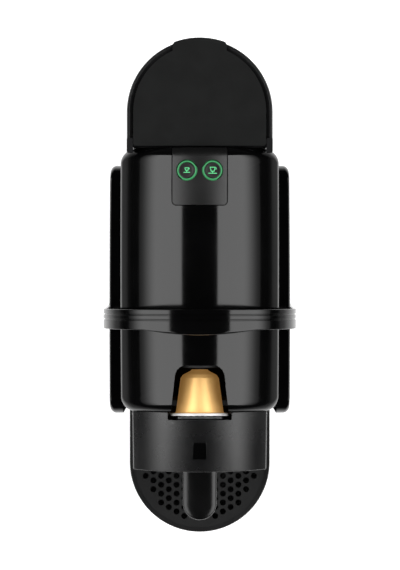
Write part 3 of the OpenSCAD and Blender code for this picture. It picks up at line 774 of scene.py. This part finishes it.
head_lo, head_hi = box_mm("front_head_cover")
HEAD_TOP = 203.0
COVER_FRONT = cover_lo.y
SLOPE = math.radians(21.0)
SHARP = 0.05  # the edge that butts against the cover
NOTCH_HALF_X, NOTCH_FRONT_Y, NOTCH_BACK_Y, NOTCH_Z = 19.5, -71.8, -60.0, 160.0
BADGE_RAISED, BADGE_SUNK = 0.55, 0.3


def head_height(x, y, inset=0.0):
    """Height of the sloping arch, or of the one that lies inset below its surface."""
    r = ARCH_R - inset
    drop = (ARCH_R - math.sqrt(r * r - x * x)) / math.cos(SLOPE)
    return HEAD_TOP - (COVER_FRONT - y) * math.tan(SLOPE) - drop


def head_blank(inset, side, front, corner, bottom, back):
    x1 = head_hi.x - inset
    y0 = head_lo.y + inset
    outline = round_rect(-x1, x1, y0, back, (corner, SHARP, SHARP, corner), n=12, step=2.0)

    def easing(nx, ny):
        if ny > 0.5:
            return SHARP
        return side + (front - side) * abs(min(0.0, ny)) ** 1.5

    return dome(outline, lambda x, y: max(bottom + 0.5, head_height(x, y, inset)), easing,
                lambda x, y: bottom,
                lambda x, y: (0.0, between(y, y0 + 15, back - 10)), n_fillet=8, n_in=24)


spout_lo, spout_hi = box_mm("coffee_spout")
SPOUT_R = spout_hi.x
SPOUT_CY = spout_lo.y + SPOUT_R
SPOUT_UNDER, SPOUT_FALL = 132.0, 1.1
NOZZLE_R, BORE_R = 5.0, 3.4
MOUTH_HALF_X = SPOUT_R + 0.3
MOUTH_TOP = spout_hi.z + 0.6

head = mesh_object(
    "head_shell",
    head_blank(0.0, side=0.9, front=0.4, corner=0.8, bottom=head_lo.z, back=head_hi.y),
)
head_in = mesh_object(
    "cut_head",
    head_blank(WALL, side=0.5, front=0.6, corner=0.6, bottom=head_lo.z + WALL,
               back=head_hi.y + OVER),
)
notch = mesh_object(
    "cut_notch",
    block(-NOTCH_HALF_X, NOTCH_HALF_X, NOTCH_FRONT_Y, NOTCH_BACK_Y, NOTCH_Z, ABOVE_COVER,
          (0.6, 0.1, 0.1, 0.6)),
)
mouth = mesh_object(
    "cut_mouth", block(-MOUTH_HALF_X, MOUTH_HALF_X, -114, -100, 125, MOUTH_TOP)
)
cut(head, head_in, notch, mouth)
settle(head, ["front_head_cover"], HEAD_SATIN, edge=0.2, segments=3, angle=42)

badge_lo, badge_hi = box_mm("head_badge")
badge = mesh_object(
    "badge_plate",
    dome(
        round_rect(badge_lo.x, badge_hi.x, badge_lo.y, badge_hi.y, (0.7,) * 4, n=6, step=2),
        lambda x, y: head_height(x, y) + BADGE_RAISED,
        lambda nx, ny: 0.3,
        lambda x, y: head_height(x, y) - BADGE_SUNK,
        lambda x, y: (0.0, between(y, badge_lo.y + 3, badge_hi.y - 3)),
        n_fillet=4,
        n_in=6,
    ),
)
settle(badge, ["head_badge"], GLOSS)


def spout_height(x, y):
    """Level along the middle, falling faster and faster towards the edge."""
    off_axis = math.hypot(x, min(0.0, y - SPOUT_CY)) / SPOUT_R
    return spout_hi.z - SPOUT_FALL * off_axis ** 4


spout = mesh_object(
    "spout_body",
    dome(
        d_outline(SPOUT_R, SPOUT_CY, spout_hi.y, 0.3, n=48, step=2),
        spout_height,
        lambda nx, ny: 0.9 if ny < 0.3 else 0.3,
        lambda x, y: SPOUT_UNDER,
        lambda x, y: (0.0, between(y, SPOUT_CY, spout_hi.y - 4)),
        n_fillet=10,
        n_in=12,
    ),
)
nozzle = mesh_object(
    "nozzle",
    swept(circle(NOZZLE_R, 64, 0, SPOUT_CY),
          rounded_profile([(1.6, 135.0, 0), (1.6, 127.95, 0.3), (0.2, 127.95, 0.5), (0, 135.0, 0)])
          + [(1.6, 135.0)], caps=(False, False)),
)
cut(spout, nozzle, union=True)
bore = swept(circle(BORE_R, 64, 0, SPOUT_CY), [(0, 120), (0, 146)])
cut(spout, mesh_object("cut_bore", bore))
settle(spout, ["coffee_spout"], SPOUT_SATIN, edge=0.4, segments=3, angle=42)

# ---------------------------------------------------------------- capsule

CAP_RIM, CAP_L = 18.5, 27.5
CAP_CENTRE = Vector((0, -69.0, 188.0))
CAP_TILT = Matrix.Rotation(math.radians(-94.0), 3, "X")
CAP_AXIS = 0.02  # the profiles start this far off the axis
RIM_FACES_R = 15.8


def at_capsule(p):
    """Maps a point drawn about the capsule's axis, up from the foil, to the frame."""
    return tuple(CAP_TILT @ Vector(p) + CAP_CENTRE)


def turned(name, profile, node, material):
    """A turned piece on the capsule's axis from (radius, height) pairs."""
    b = Build()
    b.stack([[(r * x, r * y, h) for x, y, _, _ in circle(1.0, 96)] for r, h in profile])
    return settle(mesh_object(name, b, at_capsule), [node], material, angle=50)


cup = turned(
    "capsule_cup",
    [(CAP_AXIS, 0.02)] + rounded_profile(
        [(17.4, 0.02, 0), (CAP_RIM - 0.1, 0.02, 0.1), (CAP_RIM - 0.1, 0.45, 0.2),
         (16.9, 0.8, 0.3), (15.6, 0.6, 0.2), (14.7, 1.3, 0.4), (14.4, 3.0, 0.6),
         (11.75, 22.2, 0.5), (10.4, 24.2, 0.6), (5.6, 26.7, 0.8), (5.0, CAP_L, 0.25),
         (4.2, CAP_L, 0.25), (3.9, 26.9, 0.2), (CAP_AXIS, 26.9, 0)], 5),
    "coffee_capsule", GOLD_PAINTED_GLOW)
cup.data.materials.append(FOIL)
to_axis = CAP_TILT.inverted()
for face in cup.data.polygons:
    p = to_axis @ (face.center / MM - CAP_CENTRE)
    if math.hypot(p.x, p.y) > RIM_FACES_R:
        face.material_index = 1
turned(
    "capsule_lid",
    [(CAP_AXIS, -0.3)] + rounded_profile(
        [(16.6, -0.3, 0.1), (16.9, -0.95, 0.25), (CAP_RIM, -0.95, 0.45), (CAP_RIM, 0.0, 0.3),
         (CAP_AXIS, 0.0, 0)], 5),
    "capsule_foil", FOIL)

# ---------------------------------------------------------------- water tank and lid

tank_lo, tank_hi = box_mm("water_tank")
TANK_R = tank_hi.x
TANK_CY = tank_hi.y - TANK_R
TANK_Y0, TANK_TOP, RIM_Z = 94.2, 200.0, 195.0
TANK_WALL, RIM_W = 2.2, 3.6
TANK_FLOOR_Z, WELL_R = 22.5, 8.0
LUG_X, LUG_LOW, LUG_TOP, LUG_BACK = 40.6, 196.6, 202.0, 99.5
PIN_R, PIN_REACH = 0.93, 43.0
LID_AXIS_Y, LID_AXIS_Z = 96.9, 200.2
tank = mesh_object(
    "tank_body",
    swept(
        d_outline(TANK_R, TANK_CY, TANK_Y0, RIM_W, n=72),
        rounded_profile(
            [(3.4, tank_lo.z, 0), (0, tank_lo.z, 2.2), (0, TANK_TOP, 0.7), (1.5, TANK_TOP, 0.4),
             (RIM_W, TANK_TOP - 1.25, 0.3), (RIM_W, RIM_Z, 0.4), (TANK_WALL, RIM_Z - 1.5, 0.4),
             (TANK_WALL, TANK_FLOOR_Z, 1.0), (3.4, TANK_FLOOR_Z, 0)], 5),
    ),
)
well = mesh_object("cut_well", swept(circle(WELL_R, 64, 0, TANK_CY), [(0, 15), (0, 30)]))
gap = mesh_object("cut_gap", block(-LUG_X, LUG_X, 85, 99, RIM_Z, 215))
cut(tank, well, gap)
for x0, x1 in ((-TANK_R, -LUG_X), (LUG_X, TANK_R)):
    lug = block(x0 + 0.02, x1 - 0.02, tank_lo.y, LUG_BACK, LUG_LOW, LUG_TOP, (0.7,) * 4)
    cut(tank, mesh_object("lug", lug), union=True)
pin_bore = swept(circle(PIN_R, 32), [(0, -PIN_REACH), (0, PIN_REACH)])
cut(tank, mesh_object("cut_pin", pin_bore, along_x(LID_AXIS_Y, LID_AXIS_Z)))
settle(tank, ["water_tank"], SMOKED, edge=0.25, segments=2, angle=42)
tank.data.materials.append(RIM)
for face in tank.data.polygons:
    if face.center.z > (RIM_Z - 0.5) * MM:
        face.material_index = 1

lid_lo, lid_hi = box_mm("tank_lid")
LID_R = lid_hi.x
LID_STEP = 200.4
TAB_R = lid_hi.y - TANK_CY
TAB_X = 16.4
LID_CORNER, LID_CHAMFER = 1.2, 0.35
tab_in = math.degrees(math.acos(TAB_X / LID_R))
tab_out = math.degrees(math.acos((TAB_X - 0.9) / TAB_R))
tab_y = TANK_CY + math.sqrt(TAB_R ** 2 - TAB_X ** 2) - 1.2
front_edge = lid_lo.y
corner_y = front_edge + LID_CORNER
lid_outline = (
    [(LID_R - LID_CORNER, front_edge), (LID_R - LID_CHAMFER, front_edge + LID_CHAMFER),
     (LID_R, corner_y)]
    + flat(line(LID_R, corner_y, LID_R, TANK_CY, 3))
    + flat(arc(0, TANK_CY, LID_R, 0, tab_in, 44))
    + [(TAB_X, tab_y)]
    + flat(arc(0, TANK_CY, TAB_R, tab_out, 180 - tab_out, 24))
    + [(-TAB_X, tab_y)]
    + flat(arc(0, TANK_CY, LID_R, 180 - tab_in, 180, 44))
    + flat(line(-LID_R, TANK_CY, -LID_R, corner_y, 3))
    + [(-LID_R, corner_y), (-LID_R + LID_CHAMFER, front_edge + LID_CHAMFER),
       (-LID_R + LID_CORNER, front_edge)]
)
lid = mesh_object("lid_plate", prism([lid_outline], LID_STEP, lid_hi.z))
lid_plug = mesh_object(
    "lid_plug",
    swept(d_outline(LID_R - 0.05, TANK_CY, front_edge + 0.05, LID_CORNER, n=72),
          [(0, lid_lo.z), (0, LID_STEP + 0.4)]),
)
cut(lid, lid_plug, union=True)
settle(lid, ["tank_lid"], MATTE, edge=0.5, segments=3, angle=42)

# ---------------------------------------------------------------- drip tray and cup support

grid_lo, grid_hi = box_mm("cup_support")
GRID_R = grid_hi.x
GRID_CY = grid_lo.y + GRID_R
GRID_BACK = -76.6
GRID_LOW, GRID_TOP = 46.6, 49.96
HOLE_R, HOLE_PITCH, HOLE_COLUMN = 2.1, 6.15, 5.33
EVEN_START, ODD_START = -12.3, -9.2  # a column's first hole, from the round end's centre
HOLES_WITHIN, HOLES_BEFORE_Y = 39.4, -83.0
HINGE_Y, HINGE_Z = -78.5, 48.2
BARREL_R, BARREL_EDGE = 1.85, 0.3
BARREL_END = GRID_R - 0.05

holes = []
for c in range(-7, 8):
    for k in range(-6, 7):
        hx = c * HOLE_COLUMN
        hy = (EVEN_START if c % 2 == 0 else ODD_START) - HOLE_PITCH * k
        if math.hypot(hx, hy) < HOLES_WITHIN and hy + GRID_CY < HOLES_BEFORE_Y:
            holes.append(flat(circle(HOLE_R, 24, hx, GRID_CY + hy)))
plate = flat(d_outline(GRID_R, GRID_CY, GRID_BACK, 1.5, n=96))
grid = mesh_object("grid_plate", prism([plate] + holes, GRID_LOW, GRID_TOP))
barrel = mesh_object(
    "grid_barrel",
    swept(circle(BARREL_R, 48),
          [(BARREL_EDGE, -BARREL_END), (0, BARREL_EDGE - BARREL_END),
           (0, BARREL_END - BARREL_EDGE), (BARREL_EDGE, BARREL_END)]),
    along_x(HINGE_Y, HINGE_Z),
)
cut(grid, barrel, union=True)
settle(grid, ["cup_support"], GRID, edge=0.4, segments=3, angle=42)

# ---------------------------------------------------------------- shapes kept from the CAD

# (node, finish, edge radius, segments)
REFINED = (
    ("drip_tray", SATIN, 0.9, 4),
    ("used_capsule_container", SATIN, 0.6, 3),
    ("base_chassis", SATIN, 0.8, 3),
    ("body_shell", SATIN, 0.5, 3),
    ("capsule_guide", INNER, 0.3, 2),
    ("slot_shutter", DEEP, 0.2, 2),
    ("brew_piston", DEEP, 0.4, 2),
    ("extraction_plate", STEEL, 0.25, 2),
    ("drop_chute", DEEP, 0.3, 2),
    ("coffee_funnel", DEEP, 0.3, 2),
    ("thermoblock", CAST, 0.5, 2),
    ("water_pump", IRON, 0.5, 2),
    ("tank_valve", DEEP, 0.3, 2),
    ("tank_filter", NYLON, 0.2, 2),
    ("cord_gland", RUBBER, 0.4, 2),
)
for node, material, edge, segments in REFINED:
    refined(node, material, edge, segments)

FOOT_R, FOOT_CHAMFER = 6.0, 1.2
FOOT_TOP = box_mm("rubber_feet")[1].z
FOOT_CENTRES = ((-36, -48), (36, -48), (-27, 134), (27, 134))
feet = Build()
for fx, fy in FOOT_CENTRES:
    feet.add(swept(
        circle(FOOT_R, 64, fx, fy),
        rounded_profile([(FOOT_R, 0, 0), (FOOT_CHAMFER, 0, 0.3), (0, FOOT_CHAMFER, 0.5),
                         (0, FOOT_TOP, 0), (FOOT_R, FOOT_TOP, 0)], 4),
        caps=(False, False),
    ))
settle(mesh_object("feet_pads", feet), ["rubber_feet"], RUBBER)

# ---------------------------------------------------------------- the rest of the CAD nodes

FINISH_OF_SLOT = {
    "gloss_black": GLOSS, "satin_black": SATIN, "matte_grey": MATTE, "inner_plastic": INNER,
    "nylon": NYLON, "rubber": RUBBER, "silicone": SILICONE, "steel": STEEL,
    "screw_steel": ZINC, "cast_alloy": CAST, "gold_foil": GOLD_PAINTED_GLOW, "foil": FOIL, "board": BOARD,
    "lit_green": LIT, "smoked_tank": SMOKED, "rotor_red": ROTOR,
}
for node_name, node_obj in frame["nodes"].items():
    finish_material = FINISH_OF_SLOT[SLOT_OF[node_name]]
    if not node_obj.material_slots:
        node_obj.data.materials.append(finish_material)
    for material_slot in node_obj.material_slots:
        material_slot.material = finish_material

# ---------------------------------------------------------------- stage, light and camera

scene = bpy.context.scene
scene.view_settings.view_transform = "Standard"

FLOOR_HALF = 4.0
FLOOR_SQUEEZE = 1.45  # distances across the machine count this much more than along it
FLOOR_NEAR, TONE_FAR, GLOW_FAR = 0.29, 0.8, 0.65
TONE_PALE, TONE_GREY = 0.9, 0.36
FLOOR_GLOW = 0.5


def paper_floor():
    """Pale floor that glows faintly near the machine and darkens with distance."""
    h = FLOOR_HALF
    me = bpy.data.meshes.new("floor")
    me.from_pydata([(-h, -h, 0), (h, -h, 0), (h, h, 0), (-h, h, 0)], [], [(0, 1, 2, 3)])
    obj = bpy.data.objects.new("floor", me)
    scene.collection.objects.link(obj)
    paper = finish("floor_paper", (0.88, 0.88, 0.88), 0.7, vary=0.01, specular=0.2)
    nt = paper.node_tree
    shader = nt.nodes["Principled BSDF"]
    distance = nt.nodes.new("ShaderNodeVectorMath")
    distance.operation = "LENGTH"
    narrow = nt.nodes.new("ShaderNodeVectorMath")
    narrow.operation = "MULTIPLY"
    narrow.inputs[1].default_value = (FLOOR_SQUEEZE, 1.0, 0.0)
    nt.links.new(nt.nodes["coords"].outputs["Object"], narrow.inputs[0])
    nt.links.new(narrow.outputs["Vector"], distance.inputs[0])
    tone = ramp(nt, distance.outputs["Value"], TONE_PALE, TONE_GREY, pos=(FLOOR_NEAR, TONE_FAR))
    grey = nt.nodes.new("ShaderNodeCombineColor")
    for channel in ("Red", "Green", "Blue"):
        nt.links.new(tone, grey.inputs[channel])
    nt.links.new(grey.outputs["Color"], shader.inputs["Base Color"])
    glow = ramp(nt, distance.outputs["Value"], FLOOR_GLOW, 0.0, pos=(FLOOR_NEAR, GLOW_FAR))
    shader.inputs["Emission Color"].default_value = (1, 1, 1, 1)
    nt.links.new(glow, shader.inputs["Emission Strength"])
    me.materials.append(paper)
    return obj


PANEL_LIGHT = 3.05
PANEL_EDGE_LIGHT = 0.35
# angles from straight up, about a line along the machine at PANEL_AXIS_Z; metres below them
PANEL_INNER, PANEL_OUTER = math.radians(22.0), math.radians(80.0)
FADE_FROM, FADE_TO = math.radians(54.0), math.radians(79.0)
PANEL_DISTANCE, PANEL_HALF_LENGTH, PANEL_AXIS_Z = 1.15, 0.95, 0.2


def softbox(name, side):
    """A long panel over one side of the machine, fading out towards its lower edge."""
    ends = [(side * PANEL_DISTANCE * math.sin(t), PANEL_AXIS_Z + PANEL_DISTANCE * math.cos(t))
            for t in (PANEL_INNER, PANEL_OUTER)]
    verts = [(x, y, z) for x, z in ends for y in (-PANEL_HALF_LENGTH, PANEL_HALF_LENGTH)]
    facing = (0, 1, 3, 2)
    me = bpy.data.meshes.new(name)
    me.from_pydata(verts, [], [facing if side > 0 else facing[::-1]])
    obj = bpy.data.objects.new(name, me)
    scene.collection.objects.link(obj)
    obj.visible_camera = False
    m = bpy.data.materials.new(name)
    m.use_nodes = True
    nt = m.node_tree
    nt.nodes.clear()
    surface = nt.nodes.new("ShaderNodeOutputMaterial")
    em = nt.nodes.new("ShaderNodeEmission")
    tc = nt.nodes.new("ShaderNodeTexCoord")
    sep = nt.nodes.new("ShaderNodeSeparateXYZ")
    across = nt.nodes.new("ShaderNodeMath")
    across.operation = "ABSOLUTE"
    up = nt.nodes.new("ShaderNodeMath")
    up.operation = "SUBTRACT"
    up.inputs[1].default_value = PANEL_AXIS_Z
    angle = nt.nodes.new("ShaderNodeMath")
    angle.operation = "ARCTAN2"
    mr = nt.nodes.new("ShaderNodeMapRange")
    mr.interpolation_type = "SMOOTHSTEP"
    mr.inputs["From Min"].default_value = FADE_FROM
    mr.inputs["From Max"].default_value = FADE_TO
    mr.inputs["To Min"].default_value = PANEL_LIGHT
    mr.inputs["To Max"].default_value = PANEL_EDGE_LIGHT
    nt.links.new(tc.outputs["Object"], sep.inputs["Vector"])
    nt.links.new(sep.outputs["X"], across.inputs[0])
    nt.links.new(sep.outputs["Z"], up.inputs[0])
    nt.links.new(across.outputs["Value"], angle.inputs[0])
    nt.links.new(up.outputs["Value"], angle.inputs[1])
    nt.links.new(angle.outputs["Value"], mr.inputs["Value"])
    nt.links.new(mr.outputs["Result"], em.inputs["Strength"])
    nt.links.new(em.outputs["Emission"], surface.inputs["Surface"])
    me.materials.append(m)
    return obj


paper_floor()
softbox("softbox_left", -1)
softbox("softbox_right", 1)

HORIZON_LIGHT, ZENITH_LIGHT = 0.30, 0.025
DARK_FROM = 0.75  # the upward part of the view direction at which the sky is darkest
world = bpy.data.worlds.new("studio")
scene.world = world
world.use_nodes = True
wn = world.node_tree
background = wn.nodes["Background"]
direction = wn.nodes.new("ShaderNodeTexCoord")
split = wn.nodes.new("ShaderNodeSeparateXYZ")
height = wn.nodes.new("ShaderNodeMapRange")
height.interpolation_type = "SMOOTHSTEP"
height.inputs["From Min"].default_value = 0.0
height.inputs["From Max"].default_value = DARK_FROM
height.inputs["To Min"].default_value = HORIZON_LIGHT
height.inputs["To Max"].default_value = ZENITH_LIGHT
wn.links.new(direction.outputs["Generated"], split.inputs["Vector"])
wn.links.new(split.outputs["Z"], height.inputs["Value"])
wn.links.new(height.outputs["Result"], background.inputs["Strength"])

CAMERA_HEIGHT = 1.300
CAMERA_Y = 0.0104
CAMERA_LENS = 114.38
CAMERA_SHIFT = 0.0005
camera_data = bpy.data.cameras.new("camera")
camera_data.sensor_fit = "VERTICAL"
camera_data.sensor_height = 36.0
camera_data.lens = CAMERA_LENS
camera_data.shift_x = CAMERA_SHIFT
camera = bpy.data.objects.new("camera", camera_data)
camera.location = (0.0, CAMERA_Y, CAMERA_HEIGHT)
scene.collection.objects.link(camera)
scene.camera = camera
